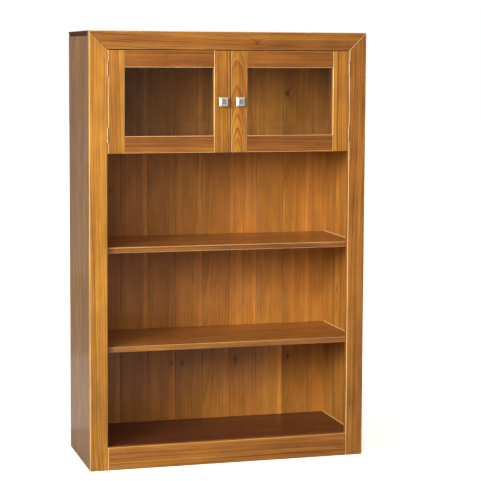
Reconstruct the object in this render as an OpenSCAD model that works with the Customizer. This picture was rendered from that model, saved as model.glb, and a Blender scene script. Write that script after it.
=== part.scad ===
// Glazed-top bookcase: a pine carcase with a mitred face frame, three open bays and a cupboard with two
// side-hinged glass doors. Every board, hinge leaf, pin, catch part and fastener is a solid of its own.
// Modules are drawn in cabinet coordinates: x from the centre line, y back from the face frame's front,
// z up from the floor. placed() then moves each one so that the origin is under the middle of the whole.

/* [Overall] */
// Width over the side panels
width = 985; // [900:5:1100]
// Depth from the front of the face frame to the rear of the back boards
depth = 385; // [340:5:430]
// Height from the floor to the upper face of the top board
height = 1500; // [1450:10:1700]

/* [Carcase] */
// Thickness of the side panels
side_t = 20; // [18:1:22]
// Thickness of the top board
top_t = 18; // [17:1:20]
// Thickness of the shelves and the cupboard floor
shelf_t = 19; // [17:1:22]
// Thickness of the bottom board
bottom_t = 18; // [16:1:20]
// Depth of the grooves in the side panels that hold the shelf ends
groove_d = 6; // [4:1:8]
// Height of the upper shelf's top face
upper_shelf_z = 765; // [700:5:830]
// Height of the lower shelf's top face
lower_shelf_z = 423; // [360:5:480]
// Height of the bottom board's top face
bottom_z = 77; // [72:1:77]
// Gap between the back of the face frame and the shelves' front edges
shelf_setback = 2; // [2:0.5:6]
// Radius of the eased arrises on the shelves, the top board and the side panels
board_arris_r = 2; // [0.5:0.5:2.5]

/* [Face frame] */
// Thickness of the face frame
frame_t = 22; // [20:1:24]
// Width of the two stiles and of the mitred top rail
frame_w = 62; // [56:1:72]
// Height of the base rail
base_rail_h = 79; // [79:1:95]
// Radius of the eased arrises on the face frame and the doors
arris_r = 2.5; // [1:0.5:3]

/* [Back boards] */
// Thickness of the back boards
board_t = 10; // [9:1:12]
// Width of the narrower board at each side
edge_board_w = 70; // [55:1:85]
// Chamfer along the front edges of each board
board_chamfer = 1.5; // [0.5:0.5:2]

/* [Doors] */
// Height of each door
door_h = 348; // [300:2:380]
// Width of the door stiles and rails
member_w = 58; // [54:1:66]
// Gap between a door and the frame's stile
door_gap = 2; // [1.8:0.1:2.4]
// Gap between the doors and the frame's top rail
top_gap = 3; // [2:0.5:4]
// Gap between the two doors
meeting_gap = 2.5; // [2:0.5:4]
// Thickness of the glass
glass_t = 3; // [3:0.5:4]

/* [Knobs] */
// Side of the square knob
knob_size = 30; // [24:1:34]
// How far the knob stands out from the door
knob_out = 24; // [20:1:30]

/* [Hinges] */
// Length of each hinge
hinge_h = 50; // [40:2:60]
// Distance from a hinge's middle to the nearer end of its door
hinge_inset = 62; // [50:2:90]
// Radius of the hinge knuckles
knuckle_r = 2.8; // [2.6:0.1:3.2]

/* [Hidden] */
$fn = 32;
eps = 0.05;
past = 1;                                   // how far a cutter runs past the face that it cuts

// Colours
pine = [0.80, 0.52, 0.22];
pine_light = [0.86, 0.60, 0.28];
pine_dark = [0.62, 0.36, 0.14];
pine_side = [0.60, 0.42, 0.26];
beech = [0.83, 0.68, 0.47];
clear_glass = [0.75, 0.85, 0.85, 0.35];
nickel = [0.80, 0.80, 0.80];
brass = [0.62, 0.47, 0.24];
steel = [0.62, 0.63, 0.65];
brown_plastic = [0.27, 0.17, 0.10];
magnet_grey = [0.22, 0.22, 0.23];

// Carcase: planes that the pieces share
front_y = (knob_out - depth) / 2;           // where the face frame's front lies in the part's frame
half_w = width / 2;
inner_x = half_w - side_t;                  // inner faces of the side panels
opening_x = half_w - frame_w;               // inner edges of the face frame's stiles
back_y = depth - board_t;                   // front faces of the back boards
rebate_w = side_t / 2;                      // rebate for the back boards in the side panels
rebate_x = inner_x + rebate_w;
rebate_h = top_t / 2 + 1;                   // rebate for the back boards in the top board
shelf_y = frame_t + shelf_setback;
side_h = height - top_t;
glue_side = 24;                             // short sides of the glue blocks' section
glue_l = 90;

// Back boards
full_boards = 8;
board_slack = 0.5;                          // gap at each end of the row and between the boards
board_low_z = 10;
board_high_z = side_h + rebate_h - board_slack;
board_pitch = 2 * (rebate_x - edge_board_w) / full_boards;
tongue_l = 5;
tongue_t = 3;
groove_slack = 0.4;

// Doors
door_t = frame_t;
door_w = (2 * opening_x - 2 * door_gap - meeting_gap) / 2;
door_top_z = height - frame_w - top_gap;
door_low_z = door_top_z - door_h;
door_in_x = meeting_gap / 2;                // meeting edge of each door
door_out_x = door_in_x + door_w;            // hinge edge of each door
glass_in_x = door_in_x + member_w;
glass_out_x = door_out_x - member_w;
glass_low_z = door_low_z + member_w;
glass_top_z = door_top_z - member_w;
lip_t = 10;                                 // wood in front of the glass
glass_rebate = 8;
glass_slack = 1;
bead_lip = 1.5;                             // square part of a bead's edge, next to the glass
bead_slope = 3;
floor_rise = 3;                             // from the doors' lower edge to the cupboard floor's underside
cupboard_floor_z = door_low_z + floor_rise + shelf_t;

// Joints between the door's and the frame's members
tenon_t = 7;
tenon_y = 6;
tenon_l = 24;
tenon_shoulder = 8;
mortise_slack = 0.5;
base_tenon_l = 24;
base_shoulder = 12;
base_tenon_h = base_rail_h - 2 * base_shoulder;

// Dowels
dowel_r = 4;
dowel_l = 30;
dowel_slack = 1;
mitre_dowel_l = 28;
frame_dowel_z = [160, 480, 820, 1140, 1380];
row_dowel_x = [-300, 0, 300];
top_dowel_y = [60, 190, 320];
top_dowel_grip = 9;                         // how far those dowels reach into the top board
glue_block_x = [-280, 0, 280];

// Nails through the back boards
nail_r = 0.8;
nail_l = 25;
nail_head_r = 1.8;
nail_head_t = 0.8;
nail_z = [
    bottom_z - bottom_t / 2,
    lower_shelf_z - shelf_t / 2,
    upper_shelf_z - shelf_t / 2,
    cupboard_floor_z - shelf_t / 2,
    side_h + rebate_h / 2
];

// Hinges
axis_x = opening_x - door_gap / 2;
axis_y = -1.2;
leaf_t = 1.5;
leaf_w = 17;
leaf_half_gap = 0.5;                        // from the axis to each leaf's inner face
knuckle_gap = 0.4;
knuckle_l = (hinge_h - 2 * knuckle_gap) / 3;
knuckle_room = 0.4;
pin_r = 1.5;
pin_play = 0.05;
pin_head_r = 2.3;
pin_head_h = 1.4;
pin_head_slope = 0.8;
hinge_z = [door_low_z + hinge_inset, door_top_z - hinge_inset];

// Screws
screw_r = 1.5;
screw_l = 16;
screw_head_r = 2.9;
screw_head_h = 1.4;
screw_tip_r = 0.2;
hole_extra = 0.5;                           // how much deeper a screw's hole is than the screw
slot_w = 0.7;
slot_l = 3.4;
slot_d = 0.7;
leaf_screw_y = 10.5;
leaf_screw_dz = 15;

// Catches
catch_x = door_in_x + member_w / 2;
catch_w = 40;
catch_d = 14;
catch_h = 12;
catch_y = shelf_y;
catch_z = cupboard_floor_z;
pocket_w = 20;
pocket_d = 10;
pole_t = 1.2;
pole_out = 0.4;
magnet_t = 5.6;
magnet_setback = 0.5;
catch_screw_dx = 15.5;
catch_screw_l = 22;
strike_w = 34;
strike_h = 13;
strike_t = 1.2;
strike_z = catch_z + catch_h / 2;

// Knobs
knob_z = (door_low_z + door_top_z) / 2;
knob_stem_r = 6;
knob_rim_t = 5;
knob_slope_t = 5;
knob_face = knob_size * 0.56;               // side of the flat front
knob_face_rim = 2;                          // flat left around the dished middle
knob_dish = 0.8;
knob_screw_r = 2;
knob_screw_grip = 10;
knob_screw_head_r = 4;
knob_screw_head_h = 2.4;
knob_slot_w = 1;
knob_slot_l = 5.4;
knob_slot_d = 1;

// ---- Helpers ----

// Moves a piece from cabinet coordinates to the part's own frame
module placed() {
    translate([0, front_y, 0]) children();
}

// A box between two corners
module block(low, high) {
    translate(low) cube(high - low);
}

// A rectangle between two corners with some of its corners rounded: each is [-1 or 1, -1 or 1]
module eased_rect(low, high, r, corners) {
    difference() {
        translate(low) square(high - low);
        for (c = corners)
            translate([c.x < 0 ? low.x : high.x, c.y < 0 ? low.y : high.y]) difference() {
                translate([c.x < 0 ? -past : -r, c.y < 0 ? -past : -r]) square(r + past);
                translate([-c.x * r, -c.y * r]) circle(r = r);
            }
    }
}

// Extrudes an outline drawn in (y, z) from x0 to x1
module along_x(x0, x1) {
    translate([x0, 0, 0]) rotate([90, 0, 90]) linear_extrude(x1 - x0) children();
}

// Extrudes an outline drawn in (x, z) from y0 to y1
module along_y(y0, y1) {
    translate([0, y1, 0]) rotate([90, 0, 0]) linear_extrude(y1 - y0) children();
}

// Extrudes an outline drawn in (x, y) from z0 to z1
module along_z(z0, z1) {
    translate([0, 0, z0]) linear_extrude(z1 - z0) children();
}

// Repeats a right-hand shape on the left as well
module both_sides() {
    children();
    mirror([1, 0, 0]) children();
}

// Mirrors a right-hand shape when side is -1
module on_side(side) {
    if (side < 0) mirror([1, 0, 0]) children();
    else children();
}

// A cylinder along +y from the given point
module rod_y(r, l) {
    rotate([-90, 0, 0]) cylinder(r = r, h = l);
}

// A countersunk screw that points along +z, with its head's flat face at z = 0
module countersunk_screw(l) {
    tip = 2 * screw_r;
    difference() {
        union() {
            cylinder(r1 = screw_head_r, r2 = screw_r, h = screw_head_h);
            cylinder(r = screw_r, h = l - tip);
            translate([0, 0, l - tip]) cylinder(r1 = screw_r, r2 = screw_tip_r, h = tip);
        }
        for (a = [0, 90])
            rotate([0, 0, a])
                block([-slot_l / 2, -slot_w / 2, -past], [slot_l / 2, slot_w / 2, slot_d]);
    }
}

// The hole for that screw
module screw_hole(l) {
    cylinder(r1 = screw_head_r, r2 = screw_r, h = screw_head_h);
    cylinder(r = screw_r, h = l + hole_extra);
    translate([0, 0, -past]) cylinder(r = screw_head_r, h = past + eps);
}

// ---- Carcase ----

// Grooves in both side panels for the ends of a board whose top face is at z, open to the front
module end_grooves(z, t) {
    block([-inner_x - groove_d, frame_t - past, z - t], [inner_x + groove_d, back_y + past, z]);
}

module board_rebate() {
    block([-rebate_x, back_y, -past], [rebate_x, depth + past, side_h + rebate_h]);
}

module frame_dowel_set(r, l) {
    start = frame_t - l / 2;
    both_sides()
        for (z = frame_dowel_z)
            translate([half_w - side_t / 2, start, z]) rod_y(r, l);
    for (x = row_dowel_x, z = [bottom_z - bottom_t / 2, height - top_t / 2])
        translate([x, start, z]) rod_y(r, l);
}

module top_dowel_set(r, l) {
    low = side_h + top_dowel_grip - (l + dowel_l) / 2;
    both_sides()
        for (y = top_dowel_y)
            translate([half_w - side_t / 2, y, low]) cylinder(r = r, h = l);
}

module dowel_holes() {
    frame_dowel_set(dowel_r, dowel_l + dowel_slack);
    top_dowel_set(dowel_r, dowel_l + dowel_slack);
}

module side_panel(side) {
    difference() {
        on_side(side)
            along_z(0, side_h) eased_rect([inner_x, frame_t], [half_w, depth], board_arris_r, [[1, 1]]);
        end_grooves(bottom_z, bottom_t);
        end_grooves(lower_shelf_z, shelf_t);
        end_grooves(upper_shelf_z, shelf_t);
        end_grooves(cupboard_floor_z, shelf_t);
        board_rebate();
        dowel_holes();
    }
}

module left_side_panel() {
    color(pine_side) placed() side_panel(-1);
}

module right_side_panel() {
    color(pine_side) placed() side_panel(1);
}

module top_board() {
    color(pine_dark) placed() difference() {
        along_y(frame_t, depth)
            eased_rect([-half_w, side_h], [half_w, height], board_arris_r, [[-1, 1], [1, 1]]);
        block([-half_w - past, back_y, side_h - past], [half_w + past, depth + past, side_h + rebate_h]);
        dowel_holes();
        nail_set(nail_r, nail_l);
    }
}

// A board held in the side panels' grooves, with pilot holes for the nails in its back edge
module housed_board(z, t, low_y) {
    difference() {
        along_x(-inner_x - groove_d, inner_x + groove_d)
            eased_rect([low_y, z - t], [back_y, z], board_arris_r, [[-1, -1], [-1, 1]]);
        nail_set(nail_r, nail_l);
    }
}

module bottom_board() {
    color(pine_dark) placed() difference() {
        housed_board(bottom_z, bottom_t, frame_t);
        dowel_holes();
    }
}

module cupboard_floor() {
    color(pine) placed() difference() {
        housed_board(cupboard_floor_z, shelf_t, shelf_y);
        catch_screw_holes();
    }
}

module upper_shelf() {
    color(pine) placed() housed_board(upper_shelf_z, shelf_t, shelf_y);
}

module lower_shelf() {
    color(pine) placed() housed_board(lower_shelf_z, shelf_t, shelf_y);
}

// Triangular blocks glued into the corners under the bottom board
module glue_blocks() {
    under = bottom_z - bottom_t;
    mid_y = depth / 2;
    color(beech) placed() {
        for (x = glue_block_x)
            translate([0, frame_t, under])
                along_x(x - glue_l / 2, x + glue_l / 2)
                    polygon([[0, 0], [glue_side, 0], [0, -glue_side]]);
        both_sides()
            translate([inner_x, 0, under])
                along_y(mid_y - glue_l / 2, mid_y + glue_l / 2)
                    polygon([[0, 0], [-glue_side, 0], [0, -glue_side]]);
    }
}

// ---- Back boards ----

// Left edge of board i, where the middle seam is on the centre line
function board_low_x(i) = i == 1 ? -rebate_x : (i - 2 - full_boards / 2) * board_pitch;
function board_high_x(i) = i == full_boards + 2 ? rebate_x : (i - 1 - full_boards / 2) * board_pitch;
function board_mid_x(i) = (board_low_x(i) + board_high_x(i)) / 2;

module nail_set(r, l) {
    for (i = [1 : full_boards + 2], z = nail_z)
        translate([board_mid_x(i), depth - l, z]) rod_y(r, l);
}

module nail_heads(t) {
    for (i = [1 : full_boards + 2], z = nail_z)
        translate([board_mid_x(i), depth - nail_head_t, z]) rod_y(nail_head_r, t);
}

// The tongue on a board's right edge, or with slack the groove that takes it
module tongue(x, slack) {
    half = (tongue_t + slack) / 2;
    mid_y = back_y + board_t / 2;
    translate([x - eps, mid_y - half]) square([tongue_l + slack + eps, 2 * half]);
}

module board_outline(i) {
    low = board_low_x(i) + board_slack / 2;
    high = board_high_x(i) - board_slack / 2;
    c = board_chamfer;
    difference() {
        polygon([
            [low + c, back_y], [high - c, back_y], [high, back_y + c],
            [high, depth], [low, depth], [low, back_y + c]
        ]);
        if (i > 1) tongue(low, groove_slack + board_slack);
    }
    if (i < full_boards + 2) tongue(high, 0);
}

module back_board(i) {
    color(i % 2 == 0 ? pine : pine_dark) placed() difference() {
        along_z(board_low_z, board_high_z) board_outline(i);
        nail_set(nail_r, nail_l);
        nail_heads(nail_head_t + past);
    }
}

module back_nails() {
    color(steel) placed() {
        nail_set(nail_r, nail_l);
        nail_heads(nail_head_t);
    }
}

// ---- Face frame ----

module mitre_dowel_set(l) {
    both_sides()
        for (k = [1 / 3, 2 / 3])
            translate([half_w - k * frame_w, frame_t / 2, height - k * frame_w])
                rotate([0, -45, 0])
                    translate([0, 0, -l / 2]) cylinder(r = dowel_r, h = l);
}

module base_tenon(slack) {
    mid = base_rail_h / 2;
    half = (base_tenon_h + slack) / 2;
    block(
        [-opening_x - base_tenon_l - slack, tenon_y, mid - half],
        [opening_x + base_tenon_l + slack, tenon_y + tenon_t, mid + half]
    );
}

module frame_stile(side) {
    difference() {
        on_side(side) intersection() {
            along_z(0, height)
                eased_rect([opening_x, 0], [half_w, frame_t], arris_r, [[-1, -1], [1, -1]]);
            along_y(-past, frame_t + past)
                polygon([
                    [opening_x, -past], [half_w + past, -past],
                    [half_w + past, height + past], [opening_x, height - frame_w]
                ]);
        }
        base_tenon(mortise_slack);
        mitre_dowel_set(mitre_dowel_l + dowel_slack);
        dowel_holes();
        both_sides() for (z = hinge_z) translate([axis_x, axis_y, z]) {
            leaf_mortise(1);
            knuckle_recess();
            leaf_screws(1) screw_hole(screw_l);
        }
    }
}

module frame_left_stile() {
    color(pine_light) placed() frame_stile(-1);
}

module frame_right_stile() {
    color(pine) placed() frame_stile(1);
}

module frame_top_rail() {
    color(pine) placed() difference() {
        intersection() {
            along_x(-half_w, half_w)
                eased_rect([0, height - frame_w], [frame_t, height], arris_r, [[-1, -1], [-1, 1]]);
            along_y(-past, frame_t + past)
                polygon([
                    [-half_w - past, height + past], [half_w + past, height + past],
                    [opening_x, height - frame_w], [-opening_x, height - frame_w]
                ]);
        }
        mitre_dowel_set(mitre_dowel_l + dowel_slack);
        dowel_holes();
    }
}

module frame_base_rail() {
    color(pine) placed() difference() {
        union() {
            along_x(-opening_x, opening_x)
                eased_rect([0, 0], [frame_t, base_rail_h], arris_r, [[-1, 1]]);
            base_tenon(0);
        }
        dowel_holes();
    }
}

module mitre_dowels() {
    color(beech) placed() mitre_dowel_set(mitre_dowel_l);
}

module frame_dowels() {
    color(beech) placed() frame_dowel_set(dowel_r, dowel_l);
}

module top_dowels() {
    color(beech) placed() top_dowel_set(dowel_r, dowel_l);
}

// ---- Hinges ----

// They are drawn about the axis of a right-hand hinge: out is 1 for the frame's leaf, -1 for the door's

// z ranges of a leaf's knuckles, counted from the hinge's middle
function knuckle_spans(out) = out > 0
    ? [[-hinge_h / 2, -hinge_h / 2 + knuckle_l], [hinge_h / 2 - knuckle_l, hinge_h / 2]]
    : [[-knuckle_l / 2, knuckle_l / 2]];

module leaf_plate(out) {
    low = out > 0 ? leaf_half_gap : -leaf_half_gap - leaf_t;
    block([low, 0, -hinge_h / 2], [low + leaf_t, leaf_w - axis_y, hinge_h / 2]);
}

module leaf_mortise(out) {
    low = out > 0 ? 0 : -leaf_half_gap - leaf_t;
    high = out > 0 ? leaf_half_gap + leaf_t : 0;
    block([low, 0, -hinge_h / 2], [high, leaf_w - axis_y, hinge_h / 2]);
}

module knuckle_recess() {
    half = hinge_h / 2 + pin_head_h + knuckle_room;
    translate([0, 0, -half]) cylinder(r = knuckle_r + knuckle_room, h = 2 * half);
}

// Places its children at the leaf's screws, pointing into the wood
module leaf_screws(out) {
    for (dz = [-leaf_screw_dz, leaf_screw_dz])
        translate([out * leaf_half_gap, leaf_screw_y - axis_y, dz])
            rotate([0, out * 90, 0])
                children();
}

module hinge_leaf(out) {
    bore = out > 0 ? pin_r : pin_r + pin_play;
    difference() {
        union() {
            leaf_plate(out);
            for (s = knuckle_spans(out))
                translate([0, 0, s[0]]) cylinder(r = knuckle_r, h = s[1] - s[0]);
        }
        for (s = knuckle_spans(-out))
            translate([0, 0, s[0] - knuckle_gap])
                cylinder(r = knuckle_r + knuckle_room, h = s[1] - s[0] + 2 * knuckle_gap);
        translate([0, 0, -hinge_h]) cylinder(r = bore, h = 2 * hinge_h);
        leaf_screws(out) screw_hole(screw_l);
    }
}

module hinge_pin() {
    cylinder(r = pin_r, h = hinge_h, center = true);
    for (m = [0, 1])
        mirror([0, 0, m])
            translate([0, 0, hinge_h / 2])
                cylinder(r1 = pin_head_r, r2 = pin_head_r - pin_head_slope, h = pin_head_h);
}

// Places its children at both hinges of the right-hand door
module at_hinges() {
    for (z = hinge_z) translate([axis_x, axis_y, z]) children();
}

module frame_hinge_leaves() {
    color(brass) placed() both_sides() at_hinges() hinge_leaf(1);
}

module hinge_pins() {
    color(brass) placed() both_sides() at_hinges() hinge_pin();
}

module frame_hinge_screws() {
    color(brass) placed() both_sides() at_hinges() leaf_screws(1) countersunk_screw(screw_l);
}

// ---- Catches ----

// Places its children at the catch screws, pointing down
module catch_screw_places() {
    both_sides()
        for (dx = [-catch_screw_dx, catch_screw_dx])
            translate([catch_x + dx, catch_y + catch_d / 2, catch_z + catch_h])
                rotate([180, 0, 0])
                    children();
}

module catch_screw_holes() {
    catch_screw_places() screw_hole(catch_screw_l);
}

module catch_housings() {
    pocket_h = magnet_t + 2 * pole_t;
    mid = catch_z + catch_h / 2;
    color(brown_plastic) placed() difference() {
        both_sides()
            block(
                [catch_x - catch_w / 2, catch_y, catch_z],
                [catch_x + catch_w / 2, catch_y + catch_d, catch_z + catch_h]
            );
        both_sides()
            block(
                [catch_x - pocket_w / 2, catch_y - past, mid - pocket_h / 2],
                [catch_x + pocket_w / 2, catch_y + pocket_d, mid + pocket_h / 2]
            );
        catch_screw_holes();
    }
}

module catch_magnets() {
    mid = catch_z + catch_h / 2;
    color(magnet_grey) placed() both_sides()
        block(
            [catch_x - pocket_w / 2, catch_y + magnet_setback, mid - magnet_t / 2],
            [catch_x + pocket_w / 2, catch_y + pocket_d, mid + magnet_t / 2]
        );
}

module catch_pole_plates() {
    mid = catch_z + catch_h / 2;
    color(steel) placed() both_sides()
        for (low = [mid - magnet_t / 2 - pole_t, mid + magnet_t / 2])
            block(
                [catch_x - pocket_w / 2, catch_y - pole_out, low],
                [catch_x + pocket_w / 2, catch_y + pocket_d, low + pole_t]
            );
}

module catch_screws() {
    color(steel) placed() catch_screw_places() countersunk_screw(catch_screw_l);
}

// ---- Doors ----

// They are drawn as the right-hand one: its meeting edge is near x = 0 and its hinge edge is outside

module glass_rebates() {
    block(
        [glass_in_x - glass_rebate, lip_t, glass_low_z - glass_rebate],
        [glass_out_x + glass_rebate, door_t + past, glass_top_z + glass_rebate]
    );
}

// Rebate along the whole inner edge of both stiles, which the rails' long shoulders fill
module stile_rebate() {
    block(
        [glass_in_x - glass_rebate, lip_t, door_low_z - past],
        [glass_out_x + glass_rebate, door_t + past, door_top_z + past]
    );
}

// Tenons of the rail whose lower edge is at z; with slack, their mortises
module rail_tenons(z, slack) {
    block(
        [glass_in_x - tenon_l - slack, tenon_y, z + tenon_shoulder - slack / 2],
        [glass_out_x + tenon_l + slack, tenon_y + tenon_t, z + member_w - tenon_shoulder + slack / 2]
    );
}

module door_rail(z) {
    difference() {
        union() {
            along_x(glass_in_x, glass_out_x)
                eased_rect([0, z], [lip_t, z + member_w], arris_r, [[-1, -1], [-1, 1]]);
            block(
                [glass_in_x - glass_rebate, lip_t, z],
                [glass_out_x + glass_rebate, door_t, z + member_w]
            );
            rail_tenons(z, 0);
        }
        glass_rebates();
    }
}

module rail_mortises() {
    rail_tenons(door_low_z, mortise_slack);
    rail_tenons(door_top_z - member_w, mortise_slack);
}

module hinge_stile() {
    difference() {
        along_z(door_low_z, door_top_z)
            eased_rect([glass_out_x, 0], [door_out_x, door_t], arris_r, [[-1, -1], [1, -1]]);
        stile_rebate();
        rail_mortises();
        at_hinges() {
            leaf_mortise(-1);
            knuckle_recess();
            leaf_screws(-1) screw_hole(screw_l);
        }
    }
}

module meeting_stile() {
    difference() {
        along_z(door_low_z, door_top_z)
            eased_rect([door_in_x, 0], [glass_in_x, door_t], arris_r, [[-1, -1], [1, -1]]);
        stile_rebate();
        rail_mortises();
        translate([catch_x, -past, knob_z]) rod_y(knob_screw_r, door_t + 2 * past);
        strike_screw_place() screw_hole(screw_l);
    }
}

module glass_pane() {
    s = glass_rebate - glass_slack;
    block([glass_in_x - s, lip_t, glass_low_z - s], [glass_out_x + s, lip_t + glass_t, glass_top_z + s]);
}

// Profile of a glazing bead: x from the rebate's wall towards the opening, y from the glass to the back
module bead_profile() {
    d = door_t - lip_t - glass_t;
    polygon([
        [0, 0], [glass_rebate, 0], [glass_rebate, bead_lip], [glass_rebate - bead_slope, d], [0, d]
    ]);
}

module side_beads() {
    start_y = lip_t + glass_t;
    along_z(glass_low_z, glass_top_z) {
        translate([glass_in_x - glass_rebate, start_y]) bead_profile();
        translate([glass_out_x + glass_rebate, start_y]) mirror([1, 0]) bead_profile();
    }
}

module cross_beads() {
    start_y = lip_t + glass_t;
    along_x(glass_in_x - glass_rebate, glass_out_x + glass_rebate) {
        translate([start_y, glass_low_z - glass_rebate]) rotate(90) mirror([0, 1]) bead_profile();
        translate([start_y, glass_top_z + glass_rebate]) rotate(-90) bead_profile();
    }
}

// One knob that stands out along -y, its back on the door's face
module knob() {
    half = knob_size / 2;
    face = knob_face / 2;
    dish = face - knob_face_rim;
    stem_l = knob_out - knob_rim_t - knob_slope_t;
    profile = [
        [-half, stem_l], [half, stem_l], [half, stem_l + knob_rim_t],
        [face, knob_out], [-face, knob_out], [-half, stem_l + knob_rim_t]
    ];
    difference() {
        rotate([90, 0, 0]) union() {
            cylinder(r = knob_stem_r, h = stem_l + eps);
            intersection() {
                translate([0, half, 0]) rotate([90, 0, 0]) linear_extrude(knob_size) polygon(profile);
                translate([-half, 0, 0])
                    rotate([90, 0, 90]) linear_extrude(knob_size) polygon(profile);
            }
        }
        block([-dish, -knob_out - past, -dish], [dish, -knob_out + knob_dish, dish]);
        translate([0, -knob_screw_grip - hole_extra, 0]) rod_y(knob_screw_r, knob_out);
    }
}

module knob_screw() {
    difference() {
        union() {
            translate([0, -knob_screw_grip, 0]) rod_y(knob_screw_r, knob_screw_grip + door_t + eps);
            translate([0, door_t, 0]) rod_y(knob_screw_head_r, knob_screw_head_h);
        }
        for (a = [0, 90])
            translate([0, door_t + knob_screw_head_h - knob_slot_d, 0])
                rotate([0, a, 0])
                    block(
                        [-knob_slot_l / 2, 0, -knob_slot_w / 2],
                        [knob_slot_l / 2, knob_slot_d + past, knob_slot_w / 2]
                    );
    }
}

module strike_screw_place() {
    translate([catch_x, door_t + strike_t, strike_z]) rotate([90, 0, 0]) children();
}

module strike_plate() {
    difference() {
        block(
            [catch_x - strike_w / 2, door_t, strike_z - strike_h / 2],
            [catch_x + strike_w / 2, door_t + strike_t, strike_z + strike_h / 2]
        );
        strike_screw_place() screw_hole(screw_l);
    }
}

// ---- The left door's pieces ----

module left_door_hinge_stile() {
    color(pine) placed() on_side(-1) hinge_stile();
}

module left_door_meeting_stile() {
    color(pine) placed() on_side(-1) meeting_stile();
}

module left_door_top_rail() {
    color(pine_dark) placed() on_side(-1) door_rail(door_top_z - member_w);
}

module left_door_bottom_rail() {
    color(pine_dark) placed() on_side(-1) door_rail(door_low_z);
}

module left_door_glass() {
    color(clear_glass) placed() on_side(-1) glass_pane();
}

module left_door_side_beads() {
    color(pine_dark) placed() on_side(-1) side_beads();
}

module left_door_cross_beads() {
    color(pine_dark) placed() on_side(-1) cross_beads();
}

module left_door_knob() {
    color(nickel) placed() translate([-catch_x, 0, knob_z]) knob();
}

module left_door_knob_screw() {
    color(steel) placed() translate([-catch_x, 0, knob_z]) knob_screw();
}

module left_door_hinge_leaves() {
    color(brass) placed() on_side(-1) at_hinges() hinge_leaf(-1);
}

module left_door_hinge_screws() {
    color(brass) placed() on_side(-1) at_hinges() leaf_screws(-1) countersunk_screw(screw_l);
}

module left_door_strike_plate() {
    color(steel) placed() on_side(-1) strike_plate();
}

module left_door_strike_screw() {
    color(steel) placed() on_side(-1) strike_screw_place() countersunk_screw(screw_l);
}

// ---- The right door's pieces ----

module right_door_hinge_stile() {
    color(pine) placed() hinge_stile();
}

module right_door_meeting_stile() {
    color(pine) placed() meeting_stile();
}

module right_door_top_rail() {
    color(pine_dark) placed() door_rail(door_top_z - member_w);
}

module right_door_bottom_rail() {
    color(pine_dark) placed() door_rail(door_low_z);
}

module right_door_glass() {
    color(clear_glass) placed() glass_pane();
}

module right_door_side_beads() {
    color(pine_dark) placed() side_beads();
}

module right_door_cross_beads() {
    color(pine_dark) placed() cross_beads();
}

module right_door_knob() {
    color(nickel) placed() translate([catch_x, 0, knob_z]) knob();
}

module right_door_knob_screw() {
    color(steel) placed() translate([catch_x, 0, knob_z]) knob_screw();
}

module right_door_hinge_leaves() {
    color(brass) placed() at_hinges() hinge_leaf(-1);
}

module right_door_hinge_screws() {
    color(brass) placed() at_hinges() leaf_screws(-1) countersunk_screw(screw_l);
}

module right_door_strike_plate() {
    color(steel) placed() strike_plate();
}

module right_door_strike_screw() {
    color(steel) placed() strike_screw_place() countersunk_screw(screw_l);
}

left_side_panel();
right_side_panel();
top_board();
bottom_board();
cupboard_floor();
upper_shelf();
lower_shelf();
back_board(1);  // back_board_1
back_board(2);  // back_board_2
back_board(3);  // back_board_3
back_board(4);  // back_board_4
back_board(5);  // back_board_5
back_board(6);  // back_board_6
back_board(7);  // back_board_7
back_board(8);  // back_board_8
back_board(9);  // back_board_9
back_board(10);  // back_board_10
frame_left_stile();
frame_right_stile();
frame_top_rail();
frame_base_rail();
mitre_dowels();
frame_dowels();
top_dowels();
glue_blocks();
back_nails();
frame_hinge_leaves();
hinge_pins();
frame_hinge_screws();
catch_housings();
catch_magnets();
catch_pole_plates();
catch_screws();
left_door_hinge_stile();
left_door_meeting_stile();
left_door_top_rail();
left_door_bottom_rail();
left_door_glass();
left_door_side_beads();
left_door_cross_beads();
left_door_knob();
left_door_knob_screw();
left_door_hinge_leaves();
left_door_hinge_screws();
left_door_strike_plate();
left_door_strike_screw();
right_door_hinge_stile();
right_door_meeting_stile();
right_door_top_rail();
right_door_bottom_rail();
right_door_glass();
right_door_side_beads();
right_door_cross_beads();
right_door_knob();
right_door_knob_screw();
right_door_hinge_leaves();
right_door_hinge_screws();
right_door_strike_plate();
right_door_strike_screw();
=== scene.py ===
"""The looks of the glazed-top pine bookcase: its materials, and the floor, lights and camera around it.

Every visible piece is a CAD node, so the script makes no piece of its own. It gives each node a material.
"""
import math
import random

import bpy
from mathutils import Matrix, Vector


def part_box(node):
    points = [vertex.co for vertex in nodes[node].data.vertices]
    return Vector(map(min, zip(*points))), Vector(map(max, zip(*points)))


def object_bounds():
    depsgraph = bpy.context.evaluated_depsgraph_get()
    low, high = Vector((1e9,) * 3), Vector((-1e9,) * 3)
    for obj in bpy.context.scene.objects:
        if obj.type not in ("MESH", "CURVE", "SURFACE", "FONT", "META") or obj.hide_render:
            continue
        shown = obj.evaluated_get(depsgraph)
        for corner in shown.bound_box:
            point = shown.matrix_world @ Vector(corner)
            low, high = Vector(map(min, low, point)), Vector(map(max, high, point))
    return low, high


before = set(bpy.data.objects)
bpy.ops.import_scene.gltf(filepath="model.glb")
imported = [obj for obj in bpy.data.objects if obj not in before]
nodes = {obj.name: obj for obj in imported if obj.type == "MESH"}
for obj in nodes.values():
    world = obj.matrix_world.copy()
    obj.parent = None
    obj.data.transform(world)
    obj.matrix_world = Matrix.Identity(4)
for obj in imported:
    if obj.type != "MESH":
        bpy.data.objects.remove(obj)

cad_low, cad_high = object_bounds()
FRONT_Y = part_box("frame_left_stile")[0].y
HEIGHT = cad_high.z


# ------------------------------------------------------------------------------------ shader helpers


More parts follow.
